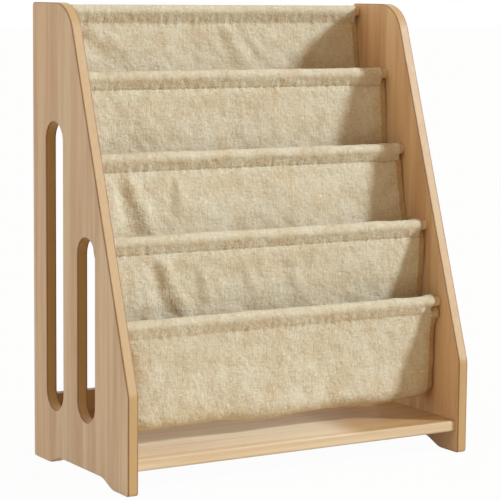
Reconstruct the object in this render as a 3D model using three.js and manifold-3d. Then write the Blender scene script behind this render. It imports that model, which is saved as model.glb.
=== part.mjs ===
// Sling bookshelf for children: two slotted side panels joined by a bottom shelf and a back rail,
// with five rods between the panels that carry four hanging cloth slings.
// Millimetres, +Z up, the front faces -Y. The origin is on the floor, in the middle of the
// width and the depth. Places in a panel are given as reach (from its back edge) and height.

import * as THREE from 'three';
import { mergeVertices } from 'three/addons/utils/BufferGeometryUtils.js';
import Module from 'manifold-3d';

const wasm = await Module();
wasm.setup();

// Whole piece
const WIDTH = 620;
const DEPTH = 320;
const HEIGHT = 720;
const BOARD = 18;
const FIT_GAP = 0.3;
const CUT_OVERRUN = 1;

// Outline of a side panel: the sloped front line would meet the top edge at TOP_REACH
const TOP_REACH = 124.6;
const KNEE_HEIGHT = 150;
const TOP_ROUND = 60;
const KNEE_ROUND = 30;
const CORNER_ROUND = 5;
const EDGE_ROUND = 2;
const REAR_FOOT = 60;
const FRONT_FOOT = 51;
const ARCH_RUN = 32;
const ARCH_HEIGHT = 13;
const ARCH_ROUND = 40;
const CHORD_ERROR = 0.1;

// Two long slots through each side panel
const SLOT_WIDTH = 58;
const SLOT_BOTTOM = 87;
const SLOT_TO_SOCKET = 2;
const FRONT_SLOT_RISE = 7.4;
const REAR_SLOT_CENTRE_SHARE = 0.491;
const REAR_SLOT_TOP_SHARE = 0.747;

// Rods, top to bottom: height as a share of HEIGHT, reach as a share of the sloped line's reach
const ROD_DIAMETER = 16;
const TENON_DIAMETER = 10;
const TENON_CHAMFER = 0.6;
const SOCKET_SKIN = 8.5;
const rodPlaceShares = [
  { name: 'top_rod', height: 0.982, reach: 0.101 },
  { name: 'tier_1_rod', height: 0.84, reach: 0.608 },
  { name: 'tier_2_rod', height: 0.669, reach: 0.727 },
  { name: 'tier_3_rod', height: 0.503, reach: 0.889 },
  { name: 'tier_4_rod', height: 0.335, reach: 0.9 },
];
const SLOT_ROD = 'tier_3_rod';

// Bottom shelf and back rail
const SHELF_UNDERSIDE = 35;
const SHELF_INSET = 6;
const SHELF_EDGE_ROUND = 3;
const RAIL_HEIGHT = 65;

// Hidden cam fittings and dowels between the boards and the panels
const HOLE_SKIN = 6.7;
const CAM_DIAMETER = 15;
const CAM_SKIN = 3.9;
const CAM_SETBACK = 24;
const CAM_CAVITY_GAP = 0.5;
const CAM_RECESS_LENGTH = 7;
const CAM_RECESS_WIDTH = 1.4;
const CAM_RECESS_DEPTH = 1.8;
const BOLT_THREAD_DIAMETER = 6;
const BOLT_THREAD_CHAMFER = 0.8;
const BOLT_COLLAR_DIAMETER = 7.8;
const BOLT_COLLAR_LENGTH = 2;
const BOLT_SHANK_DIAMETER = 6.4;
const BOLT_NECK_DIAMETER = 3.6;
const BOLT_HEAD_DIAMETER = 6;
const DOWEL_DIAMETER = 8;
const DOWEL_LENGTH = 30;
const DOWEL_CHAMFER = 1;
const shelfCamShares = { rear: 0.14, front: 0.82 };
const shelfDowelShares = { rear: 0.3, front: 0.66 };
const RAIL_CAM_SHARE = 0.69;
const RAIL_DOWEL_SHARE = 0.31;

// Cloth slings: each pocket's round bottom is placed between its two rods
const CLOTH = 1.5;
const SLING_END_GAP = 1.5;
const SEAM_DROP = 20;
const POCKET_DROP = 62;
const SHELF_CLEARANCE = 27;
const CLOTH_SAG = 3;
const RIPPLE_DEPTH = 2;
const RIPPLE_COUNT = 3;
const RIPPLE_SLANT_SHARE = 0.4;
const pocketCentreShares = [0.517, 0.57, 0.664, 0.325];
const pocketRadiusShares = [0.322, 0.36, 0.286, 0.588];

// Numbers of flat sides and steps
const SOCKET_SIDES = 20;
const ROD_SIDES = 16;
const FITTING_SIDES = 12;
const CAM_SIDES = 20;
const EDGE_STEPS = 2;
const TUNNEL_STEPS = 9;
const POCKET_STEPS = 8;
const WALL_STEPS = 4;
const SLING_STATIONS = 11;
const WINDOW_STEPS = 10;
const BALL_STEPS = 4;

// Sizes that follow from the ones above
const INNER_HALF = WIDTH / 2 - BOARD;
const BOARD_LENGTH = 2 * (INNER_HALF - FIT_GAP);
const SHELF_TOP = SHELF_UNDERSIDE + BOARD;
const SHELF_BACK = BOARD + FIT_GAP;
const SHELF_FRONT = DEPTH - SHELF_INSET;
const SOCKET_RADIUS = TENON_DIAMETER / 2 + FIT_GAP;
const SOCKET_DEPTH = BOARD - SOCKET_SKIN;
const HOLE_DEPTH = BOARD - HOLE_SKIN;
const CAM_BORE_DEPTH = BOARD - CAM_SKIN;
const CAM_HEIGHT = CAM_BORE_DEPTH - 2 * FIT_GAP;
const CAM_CAVITY = BOLT_HEAD_DIAMETER / 2 + CAM_CAVITY_GAP;
const TUNNEL_RADIUS = ROD_DIAMETER / 2 + FIT_GAP;
const SLING_HALF = INNER_HALF - SLING_END_GAP;

const WOOD = { color: 0xd3b086, roughness: 0.55, metalness: 0 };
const DOWEL_WOOD = { color: 0xc9a36f, roughness: 0.75, metalness: 0 };
const STEEL = { color: 0xb9bcc0, roughness: 0.35, metalness: 1 };
const ZINC = { color: 0x9c9fa3, roughness: 0.5, metalness: 1 };
const FABRIC = { color: 0xcdbea6, roughness: 0.95, metalness: 0 };

// Reach of the sloped front line at a height
function slopeReach(height) {
  const fall = (DEPTH - TOP_REACH) / (HEIGHT - KNEE_HEIGHT);
  return DEPTH - (height - KNEE_HEIGHT) * fall;
}

const rods = rodPlaceShares.map((share) => {
  const height = share.height * HEIGHT;
  return { name: share.name, height, reach: share.reach * slopeReach(height) };
});

// Closed geometry to solid and back
function toSolid(geometry) {
  const plain = geometry.clone();
  plain.deleteAttribute('normal');
  plain.deleteAttribute('uv');
  const merged = mergeVertices(plain);
  const index = merged.index.array;
  const mesh = new wasm.Mesh({
    numProp: 3,
    vertProperties: new Float32Array(merged.attributes.position.array),
    triVerts: new Uint32Array(index),
  });
  return new wasm.Manifold(mesh);
}

function toGeometry(solid) {
  const mesh = solid.getMesh();
  const geometry = new THREE.BufferGeometry();
  geometry.setAttribute('position', new THREE.BufferAttribute(mesh.vertProperties, 3));
  geometry.setIndex(new THREE.BufferAttribute(mesh.triVerts, 1));
  const flat = geometry.toNonIndexed();
  flat.computeVertexNormals();
  return flat;
}

function cutAll(body, cutters) {
  let solid = toSolid(body);
  cutters.forEach((cutter) => {
    solid = solid.subtract(toSolid(cutter));
  });
  return toGeometry(solid);
}

function namedMesh(name, geometry, finish) {
  const mesh = new THREE.Mesh(geometry, new THREE.MeshStandardMaterial(finish));
  mesh.name = name;
  return mesh;
}

// Points of an arc, with no chord further than CHORD_ERROR from it
function arcPoints(centre, radius, start, sweep) {
  const step = 2 * Math.acos(1 - CHORD_ERROR / radius);
  const count = Math.ceil(Math.abs(sweep) / step);
  const points = [];
  for (let i = 0; i <= count; i += 1) {
    const angle = start + (sweep * i) / count;
    points.push(new THREE.Vector2(Math.cos(angle), Math.sin(angle)).multiplyScalar(radius).add(centre));
  }
  return points;
}

// A closed outline whose corners are rounded; a round never takes more than its half of an edge
function roundedOutline(corners) {
  return corners.flatMap(({ reach, height, round }, i) => {
    const corner = new THREE.Vector2(reach, height);
    const before = corners.at(i - 1);
    const after = corners[(i + 1) % corners.length];
    const back = new THREE.Vector2(before.reach, before.height).sub(corner);
    const ahead = new THREE.Vector2(after.reach, after.height).sub(corner);
    const room = Math.min(back.length(), ahead.length()) / 2;
    back.normalize();
    ahead.normalize();
    const half = Math.acos(back.dot(ahead)) / 2;
    const radius = Math.min(round, room * Math.tan(half));
    const start = back.clone().multiplyScalar(radius / Math.tan(half)).add(corner);
    const inward = back.clone().add(ahead).normalize();
    const centre = inward.multiplyScalar(radius / Math.sin(half)).add(corner);
    const turn = Math.sign(ahead.cross(back)) * (Math.PI - 2 * half);
    const from = start.clone().sub(centre);
    return arcPoints(centre, radius, Math.atan2(from.y, from.x), turn);
  });
}

function panelCorners() {
  return [
    { reach: 0, height: 0, round: CORNER_ROUND },
    { reach: REAR_FOOT, height: 0, round: ARCH_ROUND },
    { reach: REAR_FOOT + ARCH_RUN, height: ARCH_HEIGHT, round: ARCH_ROUND },
    { reach: DEPTH - FRONT_FOOT - ARCH_RUN, height: ARCH_HEIGHT, round: ARCH_ROUND },
    { reach: DEPTH - FRONT_FOOT, height: 0, round: ARCH_ROUND },
    { reach: DEPTH, height: 0, round: CORNER_ROUND },
    { reach: DEPTH, height: KNEE_HEIGHT, round: KNEE_ROUND },
    { reach: TOP_REACH, height: HEIGHT, round: TOP_ROUND },
    { reach: 0, height: HEIGHT, round: CORNER_ROUND },
  ];
}

// A slot with two half round ends, its middle line at a reach
function slotOutline(reach, top) {
  const radius = SLOT_WIDTH / 2;
  const low = new THREE.Vector2(reach, SLOT_BOTTOM + radius);
  const high = new THREE.Vector2(reach, top - radius);
  return [...arcPoints(low, radius, Math.PI, Math.PI), ...arcPoints(high, radius, 0, Math.PI)];
}

// The front slot stays behind the socket of the rod beside it, the rear slot follows the front one
function slotOutlines() {
  const rod = rods.find(({ name }) => name === SLOT_ROD);
  const frontSide = rod.reach - SOCKET_RADIUS - SLOT_TO_SOCKET;
  const frontCentre = frontSide - SLOT_WIDTH / 2;
  const rearCentre = (frontSide - SLOT_WIDTH) * REAR_SLOT_CENTRE_SHARE;
  return [
    slotOutline(rearCentre, REAR_SLOT_TOP_SHARE * HEIGHT),
    slotOutline(frontCentre, rod.height + FRONT_SLOT_RISE),
  ];
}

// Turns a section drawn in reach and height, and pushed out along Z, to lie across X
function layAcross(geometry, rightX) {
  const placing = new THREE.Matrix4().makeBasis(
    new THREE.Vector3(0, -1, 0),
    new THREE.Vector3(0, 0, 1),
    new THREE.Vector3(-1, 0, 0),
  );
  placing.setPosition(rightX, DEPTH / 2, 0);
  return geometry.applyMatrix4(placing);
}

function panelPlate(side) {
  const shape = new THREE.Shape(roundedOutline(panelCorners()));
  slotOutlines().forEach((outline) => {
    shape.holes.push(new THREE.Path(outline));
  });
  const plate = new THREE.ExtrudeGeometry(shape, {
    depth: BOARD - 2 * EDGE_ROUND,
    bevelThickness: EDGE_ROUND,
    bevelSize: EDGE_ROUND,
    bevelOffset: -EDGE_ROUND,
    bevelSegments: EDGE_STEPS,
  });
  const middle = side * (INNER_HALF + BOARD / 2);
  return layAcross(plate, middle + BOARD / 2 - EDGE_ROUND);
}

function cylinderAlongX(radius, fromX, toX, sides) {
  const cylinder = new THREE.CylinderGeometry(radius, radius, toX - fromX, sides);
  cylinder.rotateZ(-Math.PI / 2);
  return cylinder.translate((fromX + toX) / 2, 0, 0);
}

function cylinderAlongZ(radius, fromZ, toZ, sides) {
  const cylinder = new THREE.CylinderGeometry(radius, radius, toZ - fromZ, sides);
  cylinder.rotateX(Math.PI / 2);
  return cylinder.translate(0, 0, (fromZ + toZ) / 2);
}

// Where a board's end meets a panel. In the frame of a joint, +X runs into the panel from its
// inner face, and +Z runs into the board from the face that the cam is turned from.
function jointPlacing(joint) {
  const tilt = joint.board === 'rail' ? Math.PI / 2 : 0;
  const turn = joint.side < 0 ? Math.PI : 0;
  const placing = new THREE.Matrix4().makeRotationFromEuler(new THREE.Euler(tilt, 0, turn));
  return placing.setPosition(joint.side * INNER_HALF, DEPTH / 2 - joint.reach, joint.height);
}

// Three cam joints and three dowel joints at each end
function boardJoints() {
  const joints = [];
  const shelfDepth = SHELF_FRONT - SHELF_BACK;
  const shelfMiddle = SHELF_UNDERSIDE + BOARD / 2;
  [{ side: -1, end: 'left' }, { side: 1, end: 'right' }].forEach(({ side, end }) => {
    ['rear', 'front'].forEach((spot) => {
      const shelf = { side, board: 'shelf', label: `${end}_${spot}`, height: shelfMiddle };
      joints.push({ ...shelf, kind: 'cam', reach: SHELF_BACK + shelfCamShares[spot] * shelfDepth });
      joints.push({ ...shelf, kind: 'dowel', reach: SHELF_BACK + shelfDowelShares[spot] * shelfDepth });
    });
    const rail = { side, board: 'rail', label: end, reach: BOARD / 2 };
    joints.push({ ...rail, kind: 'cam', height: SHELF_UNDERSIDE + RAIL_CAM_SHARE * RAIL_HEIGHT });
    joints.push({ ...rail, kind: 'dowel', height: SHELF_UNDERSIDE + RAIL_DOWEL_SHARE * RAIL_HEIGHT });
  });
  return joints;
}

const joints = boardJoints();
const dowelInPanel = HOLE_DEPTH - FIT_GAP;
const dowelInBoard = DOWEL_LENGTH - dowelInPanel;

function panelHole(joint) {
  const diameter = joint.kind === 'cam' ? BOLT_THREAD_DIAMETER : DOWEL_DIAMETER;
  const hole = cylinderAlongX(diameter / 2 + FIT_GAP, -CUT_OVERRUN, HOLE_DEPTH, FITTING_SIDES);
  return hole.applyMatrix4(jointPlacing(joint));
}

function boardHoles(joint) {
  const placing = jointPlacing(joint);
  if (joint.kind === 'dowel') {
    const radius = DOWEL_DIAMETER / 2 + FIT_GAP;
    const hole = cylinderAlongX(radius, -dowelInBoard - FIT_GAP, CUT_OVERRUN, FITTING_SIDES);
    return [hole.applyMatrix4(placing)];
  }
  const boltRadius = BOLT_COLLAR_DIAMETER / 2 + FIT_GAP;
  const boltHole = cylinderAlongX(boltRadius, -CAM_SETBACK, CUT_OVERRUN, FITTING_SIDES);
  const face = -BOARD / 2;
  const camRadius = CAM_DIAMETER / 2 + FIT_GAP;
  const camHole = cylinderAlongZ(camRadius, face - CUT_OVERRUN, face + CAM_BORE_DEPTH, CAM_SIDES);
  camHole.translate(-CAM_SETBACK, 0, 0);
  return [boltHole.applyMatrix4(placing), camHole.applyMatrix4(placing)];
}

// Side panel: plate with slots, blind sockets for the rods and blind holes for the fittings
function sidePanel(name, side) {
  const sockets = rods.map((rod) => {
    const socket = cylinderAlongX(SOCKET_RADIUS, -CUT_OVERRUN, SOCKET_DEPTH, SOCKET_SIDES);
    if (side < 0) {
      socket.rotateZ(Math.PI);
    }
    return socket.translate(side * INNER_HALF, DEPTH / 2 - rod.reach, rod.height);
  });
  const holes = joints.filter((joint) => joint.side === side).map(panelHole);
  return namedMesh(name, cutAll(panelPlate(side), [...sockets, ...holes]), WOOD);
}

// A board across the piece, from its section in reach and height
function crossBoard(name, corners, cutters) {
  const shape = new THREE.Shape(roundedOutline(corners));
  const board = new THREE.ExtrudeGeometry(shape, { depth: BOARD_LENGTH, bevelEnabled: false });
  return namedMesh(name, cutAll(layAcross(board, BOARD_LENGTH / 2), cutters), WOOD);
}

function holesIn(board) {
  return joints.filter((joint) => joint.board === board).flatMap(boardHoles);
}

function bottomShelf() {
  const corners = [
    { reach: SHELF_BACK, height: SHELF_UNDERSIDE, round: EDGE_ROUND },
    { reach: SHELF_FRONT, height: SHELF_UNDERSIDE, round: SHELF_EDGE_ROUND },
    { reach: SHELF_FRONT, height: SHELF_TOP, round: SHELF_EDGE_ROUND },
    { reach: SHELF_BACK, height: SHELF_TOP, round: EDGE_ROUND },
  ];
  return crossBoard('bottom_shelf', corners, holesIn('shelf'));
}

function backRail() {
  const top = SHELF_UNDERSIDE + RAIL_HEIGHT;
  const corners = [
    { reach: 0, height: SHELF_UNDERSIDE, round: EDGE_ROUND },
    { reach: BOARD, height: SHELF_UNDERSIDE, round: EDGE_ROUND },
    { reach: BOARD, height: top, round: EDGE_ROUND },
    { reach: 0, height: top, round: EDGE_ROUND },
  ];
  return crossBoard('back_rail', corners, holesIn('rail'));
}

// A turned piece, its profile as pairs of radius and place along X
function turned(profile, sides) {
  const points = profile.map(([radius, along]) => new THREE.Vector2(radius, along));
  const geometry = new THREE.LatheGeometry(points, sides);
  return geometry.rotateZ(-Math.PI / 2);
}

// Rod with a round tenon at each end
function rodMesh(rod) {
  const shoulder = INNER_HALF - FIT_GAP;
  const end = INNER_HALF + SOCKET_DEPTH - FIT_GAP;
  const tenon = TENON_DIAMETER / 2;
  const half = [
    [ROD_DIAMETER / 2, shoulder],
    [tenon, shoulder],
    [tenon, end - TENON_CHAMFER],
    [tenon - TENON_CHAMFER, end],
    [0, end],
  ];
  const otherHalf = half.map(([radius, along]) => [radius, -along]).reverse();
  const mesh = namedMesh(rod.name, turned([...otherHalf, ...half], ROD_SIDES), WOOD);
  mesh.position.set(0, DEPTH / 2 - rod.reach, rod.height);
  return mesh;
}

function dowelMesh(joint) {
  const radius = DOWEL_DIAMETER / 2;
  const profile = [
    [0, -dowelInBoard],
    [radius - DOWEL_CHAMFER, -dowelInBoard],
    [radius, DOWEL_CHAMFER - dowelInBoard],
    [radius, dowelInPanel - DOWEL_CHAMFER],
    [radius - DOWEL_CHAMFER, dowelInPanel],
    [0, dowelInPanel],
  ];
  const name = `${joint.board}_dowel_${joint.label}`;
  const mesh = namedMesh(name, turned(profile, FITTING_SIDES), DOWEL_WOOD);
  mesh.applyMatrix4(jointPlacing(joint));
  return mesh;
}

// Bolt: ball head in the middle of the cam, neck, shank, collar, and thread in the panel
function boltMesh(joint) {
  const head = BOLT_HEAD_DIAMETER / 2;
  const neck = BOLT_NECK_DIAMETER / 2;
  const shank = BOLT_SHANK_DIAMETER / 2;
  const collar = BOLT_COLLAR_DIAMETER / 2;
  const thread = BOLT_THREAD_DIAMETER / 2;
  const neckEnd = CAM_DIAMETER / 2 + 2 * FIT_GAP - CAM_SETBACK;
  const threadEnd = HOLE_DEPTH - FIT_GAP;
  const ball = [];
  const neckAngle = Math.asin(neck / head);
  for (let i = 0; i <= BALL_STEPS; i += 1) {
    const angle = Math.PI - ((Math.PI - neckAngle) * i) / BALL_STEPS;
    const radius = i === 0 ? 0 : head * Math.sin(angle);
    ball.push([radius, head * Math.cos(angle) - CAM_SETBACK]);
  }
  const profile = [
    ...ball,
    [neck, neckEnd],
    [shank, neckEnd],
    [shank, -FIT_GAP - BOLT_COLLAR_LENGTH],
    [collar, -FIT_GAP - BOLT_COLLAR_LENGTH],
    [collar, -FIT_GAP],
    [thread, -FIT_GAP],
    [thread, threadEnd - BOLT_THREAD_CHAMFER],
    [thread - BOLT_THREAD_CHAMFER, threadEnd],
    [0, threadEnd],
  ];
  const name = `${joint.board}_bolt_${joint.label}`;
  const mesh = namedMesh(name, turned(profile, FITTING_SIDES), STEEL);
  mesh.applyMatrix4(jointPlacing(joint));
  return mesh;
}

// The cam's window passes the bolt's neck from the locked place to the bolt's way in, half a
// turn further: half a disc, and a strip below it for the half of the neck that starts there
function camWindow() {
  const reach = CAM_DIAMETER / 2 + CUT_OVERRUN;
  const height = BOLT_NECK_DIAMETER + 2 * CAM_CAVITY_GAP;
  const start = -Math.asin(height / 2 / reach);
  const points = [new THREE.Vector2(0, -height / 2)];
  for (let i = 0; i <= WINDOW_STEPS; i += 1) {
    const angle = start + ((Math.PI - start) * i) / WINDOW_STEPS;
    points.push(pointOn(new THREE.Vector2(), reach, angle));
  }
  const window = new THREE.ExtrudeGeometry(new THREE.Shape(points), { depth: height, bevelEnabled: false });
  return window.translate(0, 0, -height / 2);
}

// Cam disc round the bolt's head, with a cross recess in the face that is turned
function camMesh(joint) {
  const face = FIT_GAP - BOARD / 2;
  const disc = cylinderAlongZ(CAM_DIAMETER / 2, face, face + CAM_HEIGHT, CAM_SIDES);
  const hollow = cylinderAlongZ(CAM_CAVITY, -CAM_CAVITY, CAM_CAVITY, FITTING_SIDES);
  const wayIn = cylinderAlongX(CAM_CAVITY, -CAM_DIAMETER / 2 - CUT_OVERRUN, 0, FITTING_SIDES);
  const recessDepth = CAM_RECESS_DEPTH + CUT_OVERRUN;
  const recessMiddle = face + CAM_RECESS_DEPTH - recessDepth / 2;
  const recesses = [0, Math.PI / 2].map((angle) => {
    const recess = new THREE.BoxGeometry(CAM_RECESS_LENGTH, CAM_RECESS_WIDTH, recessDepth);
    return recess.rotateZ(angle).translate(0, 0, recessMiddle);
  });
  const geometry = cutAll(disc, [hollow, wayIn, camWindow(), ...recesses]);
  const mesh = namedMesh(`${joint.board}_cam_${joint.label}`, geometry, ZINC);
  mesh.position.set(-CAM_SETBACK, 0, 0);
  mesh.updateMatrix();
  mesh.applyMatrix4(jointPlacing(joint));
  return mesh;
}

// Angle of the point where a line from outside touches a circle, on the chosen hand
function touchAngle(from, centre, radius, hand) {
  const arm = from.clone().sub(centre);
  return Math.atan2(arm.y, arm.x) + hand * Math.acos(radius / arm.length());
}

function pointOn(centre, radius, angle) {
  return new THREE.Vector2(Math.cos(angle), Math.sin(angle)).multiplyScalar(radius).add(centre);
}

function rodCentre(rod) {
  return new THREE.Vector2(rod.reach, rod.height);
}

// The cloth passes up in front of a rod, over it, and is sewn to itself behind at the seam
function rodSeam(rod) {
  return new THREE.Vector2(rod.reach, rod.height - SEAM_DROP);
}

function tunnelArc(rod, radius, frontFoot, backFoot) {
  const centre = rodCentre(rod);
  const start = touchAngle(frontFoot, centre, radius, 1);
  const end = touchAngle(backFoot, centre, radius, -1) + 2 * Math.PI;
  const points = [];
  for (let i = 0; i <= TUNNEL_STEPS; i += 1) {
    points.push(pointOn(centre, radius, start + ((end - start) * i) / TUNNEL_STEPS));
  }
  return points;
}

function tunnelOutside(rod, seam) {
  const frontFoot = new THREE.Vector2(seam.x + CLOTH / 2, seam.y);
  const backFoot = new THREE.Vector2(seam.x - CLOTH / 2 - CLOTH, seam.y);
  return [...tunnelArc(rod, TUNNEL_RADIUS + CLOTH, frontFoot, backFoot), backFoot];
}

function tunnelInside(rod, seam) {
  const foot = new THREE.Vector2(seam.x - CLOTH / 2, seam.y + CLOTH);
  return [...tunnelArc(rod, TUNNEL_RADIUS, foot, foot), foot].reverse();
}

// Middle line of a sling, from its back seam down, round the bottom and up to its front seam
function slingPath(tier) {
  const backRod = rods[tier];
  const frontRod = rods[tier + 1];
  const sewnOn = rodSeam(backRod).add(new THREE.Vector2(CLOTH + FIT_GAP, -FIT_GAP));
  const back = tier === 0 ? rodSeam(backRod) : sewnOn;
  const front = rodSeam(frontRod);
  const spacing = frontRod.reach - backRod.reach;
  const radius = pocketRadiusShares[tier] * spacing;
  const isLowest = tier === rods.length - 2;
  const bottom = isLowest ? SHELF_TOP + SHELF_CLEARANCE : frontRod.height - POCKET_DROP;
  const reach = backRod.reach + pocketCentreShares[tier] * spacing;
  const centre = new THREE.Vector2(reach, bottom + radius);
  const start = touchAngle(back, centre, radius, 1);
  const end = touchAngle(front, centre, radius, -1) + 2 * Math.PI;
  const path = [];
  const add = (point, angle) => path.push({ point, out: pointOn(new THREE.Vector2(), 1, angle) });
  for (let i = 0; i < WALL_STEPS; i += 1) {
    add(back.clone().lerp(pointOn(centre, radius, start), i / WALL_STEPS), start);
  }
  for (let i = 0; i <= POCKET_STEPS; i += 1) {
    const angle = start + ((end - start) * i) / POCKET_STEPS;
    add(pointOn(centre, radius, angle), angle);
  }
  for (let i = 1; i <= WALL_STEPS; i += 1) {
    add(pointOn(centre, radius, end).lerp(front, i / WALL_STEPS), end);
  }
  let length = 0;
  path.forEach((step, i) => {
    length += i === 0 ? 0 : step.point.distanceTo(path[i - 1].point);
    step.along = length;
  });
  path.forEach((step) => {
    step.share = step.along / length;
  });
  return { path, back, front };
}

// Section of a sling: an outer contour and a hole round each rod that it wraps.
// Each point keeps the direction and share of its way in which folds may push it.
function slingSection(tier) {
  const { path, back, front } = slingPath(tier);
  const still = (point) => ({ point, out: new THREE.Vector2(), share: 0 });
  const side = (hand) => path.map(({ point, out, share }) => {
    const moved = out.clone().multiplyScalar((hand * CLOTH) / 2).add(point);
    return { point: moved, out, share };
  });
  const contour = [
    ...side(1),
    ...tunnelOutside(rods[tier + 1], front).map(still),
    ...side(-1).reverse(),
  ];
  const holes = [tunnelInside(rods[tier + 1], front).map(still)];
  if (tier === 0) {
    contour.push(...tunnelOutside(rods[0], back).map(still));
    holes.push(tunnelInside(rods[0], back).map(still));
  }
  return [contour, ...holes];
}

// Folds: the cloth sags most in the middle and ripples aslant, and is flat at its seams
function foldPush(across, share) {
  const hold = Math.sin(Math.PI * share) ** 2;
  const sag = CLOTH_SAG * (1 - across ** 2);
  const wave = RIPPLE_COUNT * across + RIPPLE_SLANT_SHARE * share;
  return hold * (sag + RIPPLE_DEPTH * Math.cos(Math.PI * wave));
}

function slingMesh(tier) {
  const loops = slingSection(tier);
  const section = loops.flat();
  const positions = [];
  for (let station = 0; station < SLING_STATIONS; station += 1) {
    const across = (2 * station) / (SLING_STATIONS - 1) - 1;
    section.forEach(({ point, out, share }) => {
      const push = foldPush(across, share);
      const reach = point.x + push * out.x;
      positions.push(across * SLING_HALF, DEPTH / 2 - reach, point.y + push * out.y);
    });
  }
  const indices = [];
  for (let station = 0; station < SLING_STATIONS - 1; station += 1) {
    let first = station * section.length;
    loops.forEach((loop) => {
      loop.forEach((_, i) => {
        const a = first + i;
        const b = first + ((i + 1) % loop.length);
        indices.push(a, b + section.length, b, a, a + section.length, b + section.length);
      });
      first += loop.length;
    });
  }
  const [outline, ...holes] = loops.map((loop) => loop.map(({ point }) => point));
  const lastFirst = (SLING_STATIONS - 1) * section.length;
  THREE.ShapeUtils.triangulateShape(outline, holes).forEach(([a, b, c]) => {
    indices.push(a, b, c, lastFirst + a, lastFirst + c, lastFirst + b);
  });
  const geometry = new THREE.BufferGeometry();
  geometry.setAttribute('position', new THREE.Float32BufferAttribute(positions, 3));
  geometry.setIndex(indices);
  geometry.computeVertexNormals();
  return namedMesh(`tier_${tier + 1}_sling`, geometry, FABRIC);
}

const group = new THREE.Group();
group.add(sidePanel('side_panel_left', -1));
group.add(sidePanel('side_panel_right', 1));
group.add(bottomShelf());
group.add(backRail());
rods.forEach((rod) => {
  group.add(rodMesh(rod));
});
rods.slice(1).forEach((_, tier) => {
  group.add(slingMesh(tier));
});
joints.forEach((joint) => {
  if (joint.kind === 'dowel') {
    group.add(dowelMesh(joint));
  } else {
    group.add(boltMesh(joint));
    group.add(camMesh(joint));
  }
});

export default group;
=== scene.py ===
# %% [markdown]
# # A sling bookshelf for children
# Two slotted boards stand on edge, five rods run between them, and four lengths of nubby linen hang
# from the rods as pockets. The boards, rods and fittings come from the packed model, which sits at its
# real size and only gets a finish here. The cloth is modelled here, one sheet for each pocket.

# %% Load the frame
import math

import bpy
import numpy as np
from mathutils import Matrix, Vector, noise


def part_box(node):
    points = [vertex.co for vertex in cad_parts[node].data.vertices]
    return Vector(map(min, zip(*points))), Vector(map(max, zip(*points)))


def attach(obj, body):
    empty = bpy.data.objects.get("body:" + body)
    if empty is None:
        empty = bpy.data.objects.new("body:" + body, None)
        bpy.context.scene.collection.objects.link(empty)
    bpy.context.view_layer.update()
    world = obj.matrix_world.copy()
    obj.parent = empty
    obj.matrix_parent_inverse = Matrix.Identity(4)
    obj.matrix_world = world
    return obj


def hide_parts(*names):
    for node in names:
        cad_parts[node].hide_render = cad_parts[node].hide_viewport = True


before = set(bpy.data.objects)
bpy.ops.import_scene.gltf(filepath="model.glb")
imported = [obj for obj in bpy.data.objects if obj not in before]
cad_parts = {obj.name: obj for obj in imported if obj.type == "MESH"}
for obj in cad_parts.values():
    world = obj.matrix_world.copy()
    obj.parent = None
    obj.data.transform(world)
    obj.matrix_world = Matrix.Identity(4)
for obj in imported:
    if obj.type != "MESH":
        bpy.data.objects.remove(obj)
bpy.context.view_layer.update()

# %% [markdown]
# ## The camera
# The photograph was taken from the front left, a little above the top edge, with a long lens. A camera
# can be placed by hand and nudged, but here the place and the three angles come from matching the
# corners of the boards, so the pockets and rods fall where they should.

# %% Place the camera
CAMERA_PLACE = (-1.6831, -2.7604, 0.7445)
CAMERA_YAW = math.radians(31.272)
CAMERA_PITCH = math.radians(7.294)
CAMERA_ROLL = math.radians(0.513)
VIEW_ANGLE = math.radians(13.928)

forward = Vector((
    math.sin(CAMERA_YAW) * math.cos(CAMERA_PITCH),
    math.cos(CAMERA_YAW) * math.cos(CAMERA_PITCH),
    -math.sin(CAMERA_PITCH),
))
level = Vector((math.cos(CAMERA_YAW), -math.sin(CAMERA_YAW), 0))
upward = level.cross(forward)
camera_right = math.cos(CAMERA_ROLL) * level + math.sin(CAMERA_ROLL) * upward
camera_up = -math.sin(CAMERA_ROLL) * level + math.cos(CAMERA_ROLL) * upward

lens = bpy.data.cameras.new("camera")
lens.sensor_fit = "HORIZONTAL"
lens.angle = VIEW_ANGLE
camera = bpy.data.objects.new("camera", lens)
turn = Matrix((camera_right, camera_up, -forward)).transposed()
camera.matrix_world = Matrix.Translation(CAMERA_PLACE) @ turn.to_4x4()
bpy.context.scene.collection.objects.link(camera)
bpy.context.scene.camera = camera
print("lens:", round(lens.lens, 1), "mm")

# %% [markdown]
# ## Two suns
# The shadows say where the main light stands: low, and to the right of the front. The edge of a shadow
# is a finger wide. A lamp in the shape of a window could make it so, but a sun with a wide disc does it
# with one number. A second sun with a very wide disc stands for a pale wall on the left, and keeps the
# outside of the left board from going dark. Both are a little cool while the room is warm, so that lit
# cloth looks neutral and the shadows on it look brown, as in the photograph.

# %% Set the suns
WINDOW = {"azimuth": 53, "height": 28, "disc": 9, "strength": 3.36, "colour": (0.75, 0.888, 1.0)}
PALE_WALL = {"azimuth": -100, "height": 25, "disc": 60, "strength": 1.7, "colour": (0.7, 0.9, 1.0)}


def add_sun(name, azimuth, height, disc, strength, colour):
    """A sun. Its azimuth is 0 in front and grows to the right. Angles are in degrees."""
    side = math.radians(azimuth)
    rise = math.radians(height)
    towards = Vector((math.sin(side) * math.cos(rise), -math.cos(side) * math.cos(rise), math.sin(rise)))
    lamp = bpy.data.lights.new(name, "SUN")
    lamp.angle = math.radians(disc)
    lamp.energy = strength
    lamp.color = colour
    sun = bpy.data.objects.new(name, lamp)
    sun.rotation_mode = "QUATERNION"
    sun.rotation_quaternion = towards.to_track_quat("Z", "Y")
    bpy.context.scene.collection.objects.link(sun)


add_sun("window", **WINDOW)
add_sun("fill", **PALE_WALL)
bpy.context.scene.view_settings.view_transform = "Standard"

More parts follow.
